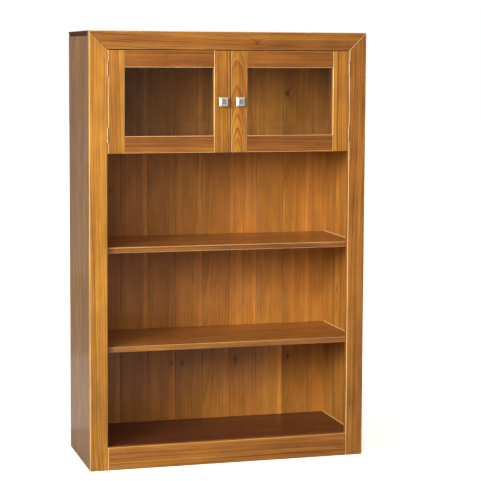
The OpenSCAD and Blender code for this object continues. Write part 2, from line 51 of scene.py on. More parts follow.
class Tree:
    """Adds nodes to one shader tree. A socket takes a plain value or the output of another node."""

    def __init__(self, tree):
        self.tree = tree

    def feed(self, socket, value):
        if isinstance(value, bpy.types.NodeSocket):
            self.tree.links.new(value, socket)
        else:
            socket.default_value = value

    def node(self, kind, settings=None, **sockets):
        """A node of that kind. A socket's name is written with _ for each space in it."""
        made = self.tree.nodes.new(kind)
        for name, value in (settings or {}).items():
            setattr(made, name, value)
        for name, value in sockets.items():
            self.feed(made.inputs[name.replace("_", " ")], value)
        return made

    def math(self, operation, *values, clamp=False):
        made = self.node("ShaderNodeMath", {"operation": operation, "use_clamp": clamp})
        for socket, value in zip(made.inputs, values):
            self.feed(socket, value)
        return made.outputs[0]

    def vector(self, operation, *values):
        made = self.node("ShaderNodeVectorMath", {"operation": operation})
        for socket, value in zip(made.inputs, values):
            self.feed(socket, value)
        return made.outputs["Value" if operation in ("LENGTH", "DOT_PRODUCT") else "Vector"]

    def scale(self, vector, factor):
        made = self.node("ShaderNodeVectorMath", {"operation": "SCALE"}, Vector=vector, Scale=factor)
        return made.outputs["Vector"]

    def split(self, vector):
        return self.node("ShaderNodeSeparateXYZ", Vector=vector).outputs

    def join(self, x, y, z):
        return self.node("ShaderNodeCombineXYZ", X=x, Y=y, Z=z).outputs[0]

    def place(self):
        """The point's place in the frame of the whole part at rest, in metres."""
        return self.node("ShaderNodeTexCoord").outputs["Object"]

    def normal(self):
        return self.node("ShaderNodeTexCoord").outputs["Normal"]

    def noise(self, vector, scale, detail=2.0, roughness=0.5, output="Fac"):
        """Noise whose scale is a number, or one number for each axis, in cycles per metre."""
        if isinstance(scale, tuple):
            vector = self.vector("MULTIPLY", vector, scale)
            scale = 1.0
        made = self.node(
            "ShaderNodeTexNoise", Vector=vector, Scale=scale, Detail=detail, Roughness=roughness
        )
        return made.outputs[output]

    def chance(self, dimensions, **sockets):
        """White noise's outputs: unrelated numbers from 0 to 1 for inputs that differ at all."""
        return self.node("ShaderNodeTexWhiteNoise", {"noise_dimensions": dimensions}, **sockets).outputs

    def ease(self, value, start, end, low=0.0, high=1.0):
        """Goes smoothly from low to high as value goes from start to end."""
        made = self.node("ShaderNodeMapRange", {"interpolation_type": "SMOOTHSTEP"})
        for socket, given in zip(made.inputs, (value, start, end, low, high)):
            self.feed(socket, given)
        return made.outputs[0]

    def swing(self, value, strength, base=0.0):
        """base, plus strength times the difference between value and 0.5, the middle of a noise."""
        return self.math("MULTIPLY_ADD", self.math("SUBTRACT", value, 0.5), strength, base)

    def mix(self, amount, first, second, blend="MIX"):
        made = self.node("ShaderNodeMix", {"data_type": "RGBA", "blend_type": blend})
        self.feed(made.inputs["Factor"], amount)
        colours = [socket for socket in made.inputs if socket.type == "RGBA"]
        self.feed(colours[0], first)
        self.feed(colours[1], second)
        return [socket for socket in made.outputs if socket.type == "RGBA"][0]

    def line(self, distance, half_width, strength):
        """strength on a line of that half width, and 0 away from it."""
        solid_part = 0.7 * half_width
        return self.ease(self.math("ABSOLUTE", distance), half_width, solid_part, 0.0, strength)


def group(name, inputs, outputs):
    """An empty node group with those sockets: its tree, its inputs and the node that takes its outputs."""
    tree = bpy.data.node_groups.new(name, "ShaderNodeTree")
    kinds = {"f": "NodeSocketFloat", "v": "NodeSocketVector", "c": "NodeSocketColor"}
    for sockets, side in ((inputs, "INPUT"), (outputs, "OUTPUT")):
        for socket, kind in sockets:
            tree.interface.new_socket(socket, in_out=side, socket_type=kinds[kind])
    made = Tree(tree)
    given = made.node("NodeGroupInput").outputs
    taken = made.node("NodeGroupOutput").inputs
    return made, given, taken


def new_material(name):
    """A material with an empty tree, and that tree's output."""
    material = bpy.data.materials.new(name)
    material.use_nodes = True
    material.node_tree.nodes.clear()
    made = Tree(material.node_tree)
    output = made.node("ShaderNodeOutputMaterial")
    return material, made, output.inputs["Surface"]


def principled_material(name):
    """A material with a Principled shader, and that shader."""
    material, made, surface = new_material(name)
    shader = made.node("ShaderNodeBsdfPrincipled")
    made.feed(surface, shader.outputs[0])
    return material, made, shader


UP, DOWN = (0.0, 0.0, 1.0), (0.0, 0.0, -1.0)
LEFT, RIGHT = (-1.0, 0.0, 0.0), (1.0, 0.0, 0.0)
FLAT, ROUNDED = 0.998, 0.95                 # a normal's largest component on a flat face and on an arris
TURNED = (0.1, 0.4)                         # how far a normal points to the side that the lamps leave in shade
# the share of the pale edge kept by arrises turned to that side: painted shade
SHADED_SIDE_PALENESS = 0.15


def arris_mask(made, shaded_side=None):
    """1 on a board's rounded arrises, where the surface turns from face to face, and 0 on its flat faces.

    The direction given last is a side that the lamps leave in shade: the arrises that turn to it are painted
    less pale, as painted shade.
    """
    normal = made.normal()
    x, y, z = made.split(made.vector("ABSOLUTE", normal))
    flatness = made.math("MAXIMUM", made.math("MAXIMUM", x, y), z)
    mask = made.ease(flatness, FLAT, ROUNDED)
    if shaded_side:
        turned = made.vector("DOT_PRODUCT", normal, shaded_side)
        mask = made.math("MULTIPLY", mask, made.ease(turned, *TURNED, 1.0, SHADED_SIDE_PALENESS))
    return mask


# ------------------------------------------------------------------------------------ knots

KNOT_SHAPE = (1.0, 0.0, 0.72)               # a knot is longer along the grain, and runs through the board
KNOT_EDGE = (1.60, 0.60)                    # where its disc fades out and where it is full, in radii
KNOT_WOBBLE = 0.006                         # how uneven its outline is, in metres
KNOT_WOBBLE_SCALE = 110.0
KNOT_HALO = 2.6                             # how far the resin around it reaches, in radii
KNOT_PUSH = 2.4                             # how far it pushes the rings of the board aside, in radii
KNOT_RING = 0.0016                          # width of its own rings, in metres
KNOT_LIGHT = (0.180, 0.052, 0.016, 1.0)
KNOT_DARK = (0.095, 0.027, 0.010, 1.0)
KNOT_SHARE = 0.80                           # how strongly a knot's colour covers the board's
RESIN = (0.70, 0.52, 0.45, 1.0)
RESIN_SHARE = 0.60


def knot_group():
    """One knot: its disc, the resin around it, how far it pushes the rings aside, and its own rings."""
    made, given, taken = group(
        "knot",
        [("Position", "v"), ("Centre", "v"), ("Size", "f")],
        [("Disc", "f"), ("Halo", "f"), ("Push", "f"), ("Rings", "f")],
    )
    offset = made.vector("SUBTRACT", given["Position"], given["Centre"])
    offset = made.vector("MULTIPLY", offset, KNOT_SHAPE)
    wobble = made.math("MULTIPLY", made.noise(given["Position"], KNOT_WOBBLE_SCALE), KNOT_WOBBLE)
    distance = made.math("ADD", made.vector("LENGTH", offset), wobble)
    reach = made.math("DIVIDE", distance, given["Size"])
    made.feed(taken["Disc"], made.ease(reach, *KNOT_EDGE))
    spread = made.math("DIVIDE", reach, KNOT_HALO)
    fall = made.math("MULTIPLY", made.math("MULTIPLY", spread, spread), -1.0)
    halo = made.math("EXPONENT", fall)
    made.feed(taken["Halo"], halo)
    made.feed(taken["Push"], made.math("MULTIPLY", halo, made.math("MULTIPLY", given["Size"], KNOT_PUSH)))
    made.feed(taken["Rings"], made.math("FRACT", made.math("DIVIDE", distance, KNOT_RING)))
    return made.tree


KNOT = knot_group()


def all_knots(made, position, knots):
    """Disc, halo and push of all of a board's knots together, and the rings of its first knot."""
    disc, halo, push, rings = 0.0, 0.0, 0.0, 0.0
    for number, (across, along, radius) in enumerate(knots):
        centre = (across, 0.0, along)
        knot = made.node(
            "ShaderNodeGroup", {"node_tree": KNOT}, Position=position, Centre=centre, Size=radius
        ).outputs
        disc = made.math("MAXIMUM", disc, knot["Disc"])
        halo = made.math("MAXIMUM", halo, knot["Halo"])
        push = made.math("ADD", push, knot["Push"])
        if number == 0:
            rings = knot["Rings"]
    return disc, halo, push, rings


# ------------------------------------------------------------------------------------ pine

# Scales of the noises in a board, in cycles per metre across it, through it and along its grain
SWAY_SCALE = (2.6, 2.6, 0.8)
RIPPLE_SCALE = (16.0, 16.0, 3.2)
STREAK_SCALE = (75.0, 75.0, 1.5)
FIBRE_SCALE = (900.0, 900.0, 14.0)
DUCT_SCALE = (800.0, 800.0, 55.0)
CLOUD_SCALE = (7.0, 7.0, 1.7)
BLOTCH_SCALE = (26.0, 26.0, 9.0)
HUE_SCALE = (18.0, 18.0, 1.1)
PALE_EDGE_SCALE = (30.0, 30.0, 5.0)
WEATHER_SCALE = 36.0                        # the last two count along the radius from the pith
BAND_SCALE = 95.0

RING = 0.0062                               # width of a year's growth, in metres
SWAY = 0.075                                # how widely the pith wanders, in metres
RIPPLE = 0.010                              # and how widely it does so at short range
STAVE_WIDTH = 0.092
SINGLE_BOARD = 1.0e3                        # a stave's width when the board is not glued up from staves
WIDEST_STAVE = 0.5                          # anything wider is a single board
STAVE_SHIFT = 7.0                           # how far apart along a tree two staves may have been cut
STAVE_PITH = (0.16, 0.10)                   # how much the pith's place may differ, across and through
STAVE_TONE = 0.16                           # and how much the tone may
WEATHER = 3.4                               # how many years' growth good and bad years shift the rings by
DARKENING = (0.30, 0.90)                    # shares of a year's growth between which the wood turns dark
PALING = (1.0, 0.93)                        # and between which it turns pale again, from its end backwards
WEAKEST_YEAR = 0.35                         # darkness of the latewood of the weakest year
BAND_DRIFT = 0.004                          # how slowly the bands change along the grain

# How strongly each thing shows: in the depth of the stain, in the roughness and in the relief
DEPTH = {"base": 0.26, "streak": 1.55, "band": 1.10, "fibre": 0.35, "duct": 0.25}
ROUGHNESS = {"base": 0.47, "late": -0.06, "fibre": 0.16, "cloud": 0.12, "pale_edge": -0.08}
RELIEF = {"late": 0.45, "fibre": 0.50, "duct": -0.40}

# What a noise becomes: the values of the noise that it starts and ends at, and what it goes from and to
DUCTS = (0.70, 0.78, 0.0, 1.0)
HUES = (0.35, 0.65, 0.0, 0.55)
PALE_EDGE_PATCHES = (0.25, 0.60, 0.60, 1.0)

WHITE = (1.0, 1.0, 1.0, 1.0)
HUE_PATCH = (0.98, 1.07, 0.90, 1.0)         # what a patch of another hue multiplies the colour by


def cut_stave(made, given):
    """Across place and full place of a point in its own stave, and that stave's three chances.

    A panel is glued up from staves, each cut from its own tree. A single board is one stave.
    """
    x, y, z = made.split(given["Position"])
    stave = made.math("ROUND", made.math("DIVIDE", x, given["Stave"]))
    chances = made.split(made.chance("2D", Vector=made.join(stave, given["Seed"], 0.0))["Color"])
    own_x = made.math("SUBTRACT", x, made.math("MULTIPLY", stave, given["Stave"]))
    own_z = made.math("ADD", z, made.math("MULTIPLY", chances[2], STAVE_SHIFT))
    place = made.join(own_x, y, made.math("ADD", own_z, given["Seed"]))
    return own_x, place, chances


def pith_distance(made, given, own_x, place, chances, is_panel):
    """Distance from the pith, which leans a little and wanders, so that the rings make long arches."""
    _, y, z = made.split(given["Position"])
    half = (0.5, 0.5, 0.5)
    sway = made.vector("SUBTRACT", made.noise(place, SWAY_SCALE, 1.0, output="Color"), half)
    ripple = made.vector("SUBTRACT", made.noise(place, RIPPLE_SCALE, 1.0, output="Color"), half)
    drift = made.split(made.vector("ADD", made.scale(sway, SWAY), made.scale(ripple, RIPPLE)))
    pith = made.split(given["Pith"])
    lean = made.split(given["Lean"])
    across = []
    for axis, own in enumerate((own_x, y)):
        spread = made.math("MULTIPLY", is_panel, STAVE_PITH[axis])
        tilt = made.math("MULTIPLY_ADD", lean[axis], z, made.swing(chances[axis], spread))
        start = made.math("ADD", made.math("ADD", own, pith[axis]), tilt)
        across.append(made.math("ADD", start, drift[axis]))
    return made.math("ADD", made.vector("LENGTH", made.join(*across, 0.0)), given["Push"])


def growth_rings(made, given, radius):
    """Each ring grows from pale earlywood to a dark line of latewood, and no two years are alike."""
    weather = made.noise(made.join(radius, given["Seed"], 0.0), WEATHER_SCALE)
    years = made.math("MULTIPLY_ADD", weather, WEATHER, made.math("DIVIDE", radius, given["Ring"]))
    season = made.math("FRACT", years)
    late = made.math("MULTIPLY", made.ease(season, *DARKENING), made.ease(season, *PALING))
    vigour = made.chance("1D", W=made.math("FLOOR", years))["Value"]
    return made.math("MULTIPLY", late, made.ease(vigour, 0.0, 1.0, WEAKEST_YEAR, 1.0))


def stained_wood(made, given, place, late, band, fibre, duct, cloud):
    """Colour of the stained wood with its lines and patches of hue, and its tone with its blotches."""
    streak = made.noise(place, STREAK_SCALE, 4.0, 0.65)
    lines = made.swing(band, DEPTH["band"], made.swing(streak, DEPTH["streak"]))
    depth = made.math("MULTIPLY_ADD", lines, given["Streaks"], made.math("MULTIPLY", late, given["Figure"]))
    depth = made.math("MULTIPLY_ADD", duct, DEPTH["duct"], made.swing(fibre, DEPTH["fibre"], depth))
    depth = made.math("ADD", depth, DEPTH["base"], clamp=True)
    colour = made.mix(depth, given["Early"], given["Late"])
    hue = made.ease(made.noise(place, HUE_SCALE), *HUES)
    colour = made.mix(hue, colour, HUE_PATCH, "MULTIPLY")
    blotch = made.math("ADD", cloud, made.noise(place, BLOTCH_SCALE, 3.0, 0.6))
    tone = made.math("MULTIPLY_ADD", made.math("SUBTRACT", blotch, 1.0), given["Blotches"], 1.0)
    return colour, tone


def with_knots(made, given, colour):
    """The same colour with resin around the knots and their dark rings."""
    resin = made.mix(made.math("MULTIPLY", given["Halo"], RESIN_SHARE), WHITE, RESIN)
    colour = made.mix(1.0, colour, resin, "MULTIPLY")
    knot_colour = made.mix(given["Knot Rings"], KNOT_LIGHT, KNOT_DARK)
    return made.mix(made.math("MULTIPLY", given["Knot"], KNOT_SHARE), colour, knot_colour)


def pine_group():
    """Growth rings, fibres, resin ducts and stain of pine whose grain runs along Z of Position, in metres."""
    numbers = (
        "Ring", "Stave", "Seed", "Push", "Knot", "Halo", "Knot Rings",
        "Arris", "Figure", "Streaks", "Blotches",
    )
    made, given, taken = group(
        "pine",
        [(name, "v") for name in ("Position", "Pith", "Lean")]
        + [(name, "f") for name in numbers]
        + [(name, "c") for name in ("Early", "Late", "Worn")],
        [("Colour", "c"), ("Roughness", "f"), ("Height", "f")],
    )
    is_panel = made.math("LESS_THAN", given["Stave"], WIDEST_STAVE)
    own_x, place, chances = cut_stave(made, given)
    radius = pith_distance(made, given, own_x, place, chances, is_panel)
    late = growth_rings(made, given, radius)
    along = made.math("MULTIPLY", made.split(given["Position"])[2], BAND_DRIFT)
    band = made.noise(made.join(radius, given["Seed"], along), BAND_SCALE, 2.0, 0.6)
    fibre = made.noise(place, FIBRE_SCALE, 2.0, 0.6)
    duct = made.ease(made.noise(place, DUCT_SCALE, 1.0), *DUCTS)
    cloud = made.noise(place, CLOUD_SCALE)

    colour, tone = stained_wood(made, given, place, late, band, fibre, duct, cloud)
    stave_tone = made.swing(chances[1], made.math("MULTIPLY", is_panel, STAVE_TONE))
    colour = with_knots(made, given, made.scale(colour, made.math("ADD", tone, stave_tone)))
    # Pale arrises: partly stain thinned by wear, partly a painted highlight where the lamps would glint on
    # the rounded edges.
    pale_edge = made.math("MULTIPLY", given["Arris"], made.ease(made.noise(place, PALE_EDGE_SCALE), *PALE_EDGE_PATCHES))
    made.feed(taken["Colour"], made.mix(pale_edge, colour, given["Worn"]))

    # The lacquer is satin, a little flatter over the open earlywood, and polished by hands on the arrises.
    rough = made.math("MULTIPLY_ADD", late, ROUGHNESS["late"], ROUGHNESS["base"])
    rough = made.swing(cloud, ROUGHNESS["cloud"], made.swing(fibre, ROUGHNESS["fibre"], rough))
    made.feed(taken["Roughness"], made.math("MULTIPLY_ADD", pale_edge, ROUGHNESS["pale_edge"], rough))
    height = made.math("MULTIPLY_ADD", late, RELIEF["late"], made.math("MULTIPLY", fibre, RELIEF["fibre"]))
    made.feed(taken["Height"], made.math("MULTIPLY_ADD", duct, RELIEF["duct"], height))
    return made.tree


PINE = pine_group()

# Colours of the stained earlywood and latewood, and of the pale edges: stain thinned by wear, and a painted
# highlight where the lamps catch the rounded arrises
STAINS = {
    "frame_pine": ((0.590, 0.252, 0.027), (0.305, 0.090, 0.010)),
    "door_pine": ((0.595, 0.244, 0.026), (0.305, 0.088, 0.010)),
    "side_pine": ((0.600, 0.270, 0.042), (0.340, 0.120, 0.019)),
    "dark_pine": ((0.190, 0.055, 0.018), (0.095, 0.024, 0.010)),
    "shelf_pine": ((0.450, 0.170, 0.028), (0.235, 0.073, 0.012)),
    "back_pine": ((0.620, 0.250, 0.042), (0.330, 0.098, 0.016)),
    "plain_wood": ((0.720, 0.540, 0.330), (0.560, 0.380, 0.200)),
}
# The pale edge colour: stain thinned by wear, and painted highlight.
PALE_WEAR_AND_HIGHLIGHT = (0.930, 0.620, 0.280, 1.0)
GLUE_LINE = (0.060, 0.022, 0.010, 1.0)

BACK_BOARDS = sorted(
    (node for node in nodes if node.startswith("back_board_")), key=lambda node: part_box(node)[0].x
)
BACK_SEAMS = [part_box(node)[0].x for node in BACK_BOARDS[1:]]
BACK_FACE = 0.004                           # depth of the boards' inner faces with their chamfers
SHELF_GROOVE = 0.006
INNER_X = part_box("upper_shelf")[1].x - SHELF_GROOVE
STILE_EDGE_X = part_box("frame_left_stile")[1].x
PALE_LINE = 0.0030                          # half widths of the lines that are drawn on the wood
SEAM_LINE = 0.0014
MITRE_LINE = (0.0022, 0.0008)               # where the mitre's line fades out and where it is full
LINE_STRENGTH = {"mitre": 0.70, "pale": 0.85, "housing": 0.75, "seam": 0.45}
ROUNDING = 0.0002                           # how far from its place a face may be found, in metres

SAPWOOD_GRAIN_SCALE = (40.0, 1.0, 2.5)
SAPWOOD_RAGGED = 0.10                       # how far its edge strays, in widths of a plank
SAPWOOD = (0.94, 1.0, 0.0, 0.22)            # shares of the plank's width, and how much paler it gets there
PLANK_SLOPE = 0.10                          # difference in tone from a plank's left edge to its right one
LOWER_SLOPE = 0.22                          # and what comes to it below the lower shelf
WHOLE_PLANKS = 10.0                         # added to a plank's number, so that it is never negative

# ------------------------------------------------------------------------------------ a board of pine


def mitre_mask(made, side):
    """1 along the line of the face frame's mitre, at its left (-1) or right (1) top corner."""
    x, _, z = made.split(made.place())
    inwards = made.math("MULTIPLY_ADD", x, -side, cad_high.x)
    down = made.math("SUBTRACT", HEIGHT, z)
    return made.ease(made.math("ABSOLUTE", made.math("SUBTRACT", inwards, down)), *MITRE_LINE)


def housing_highlight_mask(made, tops):
    """A painted highlight along the edge of each housing, on the inner face of a side panel along each
    shelf's top.
    """
    x, _, z = made.split(made.place())
    mask = 0.0
    for top in tops:
        line = made.line(made.math("SUBTRACT", z, top), PALE_LINE, LINE_STRENGTH["housing"])
        mask = made.math("MAXIMUM", mask, line)
    inner_face = made.math("LESS_THAN", made.math("ABSOLUTE", x), INNER_X + ROUNDING)
    return made.math("MULTIPLY", mask, inner_face)


def sapwood_colour(made, colour):
    """The back boards pair up into wide planks, pale sapwood at the right of each, heartwood at its left.

    On the inside, below the lower shelf, the planks lie one board further left than above it.
    """
    x, y, z = made.split(made.place())
    plank_width = 2 * (BACK_SEAMS[-1] - BACK_SEAMS[0]) / (len(BACK_SEAMS) - 1)
    plank = made.math("DIVIDE", made.math("SUBTRACT", x, BACK_SEAMS[0]), plank_width)
    inside = made.math("LESS_THAN", y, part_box(BACK_BOARDS[0])[0].y + BACK_FACE)
    lower = made.math("MULTIPLY", made.math("LESS_THAN", z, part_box("lower_shelf")[0].z), inside)
    plank = made.math("MULTIPLY_ADD", lower, 0.5, made.math("ADD", plank, WHOLE_PLANKS))
    share = made.math("FRACT", plank)
    grain = made.noise(made.join(x, 0.0, z), SAPWOOD_GRAIN_SCALE, 3.0)
    stripe = made.ease(made.math("MULTIPLY_ADD", grain, SAPWOOD_RAGGED, share), *SAPWOOD)
    slope = made.swing(share, made.math("MULTIPLY_ADD", lower, LOWER_SLOPE, PLANK_SLOPE))
    return made.scale(colour, made.math("ADD", made.math("ADD", stripe, slope), 1.0))


LACQUER = {"IOR": 1.45, "Coat Roughness": 0.13, "Coat IOR": 1.5}


def pine_material(node, stain, tone=1.0, red=0.0, pith=(0.09, 0.04), lean=(0.02, 0.03), staves=False,
                  seed=0.0, knots=(), figure=0.64, streaks=1.4, blotches=0.90, worn=1.0, shaded_side=None,
                  coat=0.40, mitres=(), highlight_lines=(), shelf_lines=(), sapwood=False):
    """Lacquered pine for one CAD board: the grain runs along its longest side, from the board's centre.

    tone scales the stain and red holds its green back. knots are (across, along, radius) in metres.
    The lines along x are given as places, and those along the shelves as heights. All of them are painted
    highlights where the lamps catch a joint.
    """
    low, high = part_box(node)
    size = high - low
    centre = (low + high) / 2
    thick, wide, long = sorted(range(3), key=lambda axis: size[axis])
    material, made, shader = principled_material(node + "_wood")
    axes = made.split(made.vector("SUBTRACT", made.place(), tuple(centre)))
    position = made.join(axes[wide], axes[thick], axes[long])
    disc, halo, push, rings = all_knots(made, position, knots)
    early, late = ((r * tone, g * tone * (1.0 - red), b * tone, 1.0) for r, g, b in STAINS[stain])
    pine = made.node(
        "ShaderNodeGroup",
        {"node_tree": PINE},
        Position=position,
        Pith=(*pith, 0.0),
        Lean=(*lean, 0.0),
        Ring=RING,
        Stave=STAVE_WIDTH if staves else SINGLE_BOARD,
        Seed=seed,
        Push=push,
        Knot=disc,
        Halo=halo,
        Knot_Rings=rings,
        Arris=made.math("MULTIPLY", arris_mask(made, shaded_side), worn),
        Figure=figure,
        Streaks=streaks,
        Blotches=blotches,
        Early=early,
        Late=late,
        Worn=PALE_WEAR_AND_HIGHLIGHT,
    ).outputs

    colour = pine["Colour"]
    # The left mitre takes a dark glue line. The right one takes a pale line, a painted highlight where the
    # light catches the joint.
    for side in mitres:
        line_colour = GLUE_LINE if side < 0 else PALE_WEAR_AND_HIGHLIGHT
        mask = made.math("MULTIPLY", mitre_mask(made, side), LINE_STRENGTH["mitre"])
        colour = made.mix(mask, colour, line_colour)
    # Pale lines along x: painted highlights where the lamps catch the edge of a joint.
    for x in highlight_lines:
        line = made.line(made.math("SUBTRACT", axes[0], x), PALE_LINE, LINE_STRENGTH["pale"])
        colour = made.mix(line, colour, PALE_WEAR_AND_HIGHLIGHT)
    # Pale lines on the side panels along the shelves' tops: painted highlights.
    if shelf_lines:
        colour = made.mix(housing_highlight_mask(made, shelf_lines), colour, PALE_WEAR_AND_HIGHLIGHT)
    if sapwood:
        colour = sapwood_colour(made, colour)
        half = size[wide] / 2
        edge = made.math("ABSOLUTE", axes[wide])
        seam = made.ease(edge, half - SEAM_LINE, half, 0.0, LINE_STRENGTH["seam"])
        colour = made.mix(seam, colour, GLUE_LINE)

    bump = made.node("ShaderNodeBump", Strength=0.35, Distance=0.0005, Height=pine["Height"])
    made.feed(shader.inputs["Base Color"], colour)
    made.feed(shader.inputs["Roughness"], pine["Roughness"])
    made.feed(shader.inputs["Normal"], bump.outputs["Normal"])
    made.feed(shader.inputs["Coat Weight"], 0.0 if stain == "plain_wood" else coat)
    for socket, value in LACQUER.items():
        made.feed(shader.inputs[socket], value)
    return material


def slot_name(node):
    return nodes[node].material_slots[0].material.name.split(".")[0]


def dress(node, material):
    """Gives a CAD node its material."""
    for slot in nodes[node].material_slots:
        slot.material = material


# The boards whose figure or colour is chosen. The others take theirs from a seeded choice.
CHOSEN = {
    "frame_left_stile": dict(
        pith=(0.10, 0.05), lean=(0.012, 0.010), tone=0.96, red=-0.04, worn=0.7, mitres=(-1,), shaded_side=RIGHT
    ),
    "frame_right_stile": dict(pith=(-0.09, 0.05), lean=(-0.010, 0.012), tone=0.88, red=0.08, mitres=(1,)),
    "frame_top_rail": dict(
        pith=(0.07, 0.05), lean=(0.020, 0.015), tone=0.73, red=0.09, mitres=(-1, 1), shaded_side=DOWN,
        knots=((-0.008, 0.092, 0.008),)
    ),
    "frame_base_rail": dict(
        pith=(0.09, 0.06), lean=(0.015, 0.020), tone=0.82, red=0.08, worn=0.5, highlight_lines=(STILE_EDGE_X,)
    ),
    "bottom_board": dict(tone=0.80, red=0.16, coat=0.20),
    "lower_shelf": dict(worn=0.55),
    # back_board_3 to back_board_6 are darker, and back_board_8 to back_board_10 lighter and less red: painted
    # shade toward the left of the bays and painted light toward their right.
    "back_board_3": dict(tone=0.92),
    "back_board_4": dict(tone=0.88),
    "back_board_5": dict(tone=0.89),
    "back_board_6": dict(tone=0.90),
    "back_board_8": dict(tone=1.12, red=-0.06),
    "back_board_9": dict(tone=1.06, red=-0.06),
    "back_board_10": dict(tone=1.08, red=-0.06),
    "top_board": dict(tone=1.2, coat=0.15),
    "left_door_hinge_stile": dict(pith=(0.11, 0.04), lean=(0.010, 0.020), tone=0.96, red=-0.04),
    "left_door_meeting_stile": dict(pith=(-0.10, 0.04), lean=(0.015, 0.010), tone=0.91, shaded_side=RIGHT),
    "right_door_meeting_stile": dict(
        pith=(0.004, 0.050), lean=(0.010, 0.120), tone=0.99, red=-0.05, figure=0.80, shaded_side=LEFT
    ),
    "right_door_hinge_stile": dict(pith=(-0.08, 0.05), lean=(0.020, 0.010), tone=0.94),
    "left_door_top_rail": dict(pith=(0.08, 0.04), tone=0.65, red=0.13, shaded_side=UP),
    "right_door_top_rail": dict(pith=(-0.09, 0.05), tone=0.73, red=0.12, shaded_side=UP),
    "left_door_bottom_rail": dict(
        pith=(0.07, 0.05), lean=(0.03, 0.04), tone=0.71, red=0.14, knots=((0.022, 0.060, 0.004),)
    ),
    "right_door_bottom_rail": dict(pith=(-0.08, 0.04), tone=0.64, red=0.14),
}
BACK_KNOTS = {
    "back_board_2": ((0.012, 0.180, 0.006),),
    "back_board_4": ((0.034, -0.461, 0.0075),),
    "back_board_5": ((-0.026, -0.463, 0.006),),
    "back_board_7": ((-0.031, -0.460, 0.008), (0.020, 0.330, 0.006)),
    "back_board_9": ((-0.033, -0.457, 0.0075), (-0.040, 0.530, 0.009)),
}
SHELVES = ("upper_shelf", "lower_shelf", "bottom_board", "cupboard_floor")
SIDE_PANELS = ("left_side_panel", "right_side_panel")
GLUED_UP = ("side_pine", "dark_pine", "shelf_pine")
FIRST_SEED = 100
SEED_STEP = 1.7                             # how far apart two boards are in the noises


def seeded_looks(node, number, stain):
    """How a board looks unless CHOSEN says otherwise: its seeded choices, and what goes with its stain."""
    chance = random.Random(FIRST_SEED + number)
    side = chance.choice((-1.0, 1.0))
    looks = dict(
        pith=(side * chance.uniform(0.05, 0.12), chance.uniform(0.03, 0.07)),
        lean=(chance.uniform(-0.03, 0.03), chance.uniform(-0.04, 0.04)),
        tone=chance.uniform(0.94, 1.06),
        seed=number * SEED_STEP,
    )
    if stain in GLUED_UP:
        looks.update(staves=True, pith=(0.02, 0.06))
        looks["knots"] = tuple(
            (chance.uniform(-0.15, 0.15), chance.uniform(-0.4, 0.4), 0.006) for _ in range(2)
        )
    if stain == "back_pine":
        looks["tone"] = chance.uniform(0.88, 1.08)
        looks["knots"] = BACK_KNOTS.get(node, ())
        looks.update(worn=0.25, sapwood=True, figure=0.40, streaks=0.55, blotches=0.75)
    if stain == "plain_wood":
        looks["worn"] = 0.2
    return looks


def dress_wood():
    """Every wooden node gets a board of its own."""
    for number, node in enumerate(sorted(nodes)):
        stain = slot_name(node)
        if stain not in STAINS:
            continue
        looks = seeded_looks(node, number, stain)
        if node in SHELVES:
            # The shelves' ends get painted highlight lines where they meet the side panels.
            looks["highlight_lines"] = (-INNER_X, INNER_X)
        if node in SIDE_PANELS:
            looks["shelf_lines"] = tuple(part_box(shelf)[1].z for shelf in SHELVES)
        looks.update(CHOSEN.get(node, {}))
        dress(node, pine_material(node, stain, **looks))


# ------------------------------------------------------------------------------------ metal, plastic, glass

BRUSH_SCALE = (300.0, 300.0, 20.0)
TARNISH_SCALE = 60.0
PIT_SCALE = 1400.0
TARNISH = (0.42, 0.68)                      # the noise's values between which the tarnish sets in
METAL_COLOUR = {"tarnish": 0.65, "marks": 0.22, "pale_edge": 0.5}
METAL_ROUGHNESS = {"tarnish": 0.14, "marks": 0.18, "pale_edge": 0.12}
METAL_RELIEF = {"marks": 0.6, "pits": 0.4}
FACING = (0.95, 0.995)                      # how squarely a flat has to look to the front
FACE_MARKS = (0.0, 1.0, 1.0, 0.75)          # how much of the face's colour the brush marks leave
BRIGHT_GAIN, BRIGHT_LIFT = 1.35, 0.05       # what rubbing does to the colour


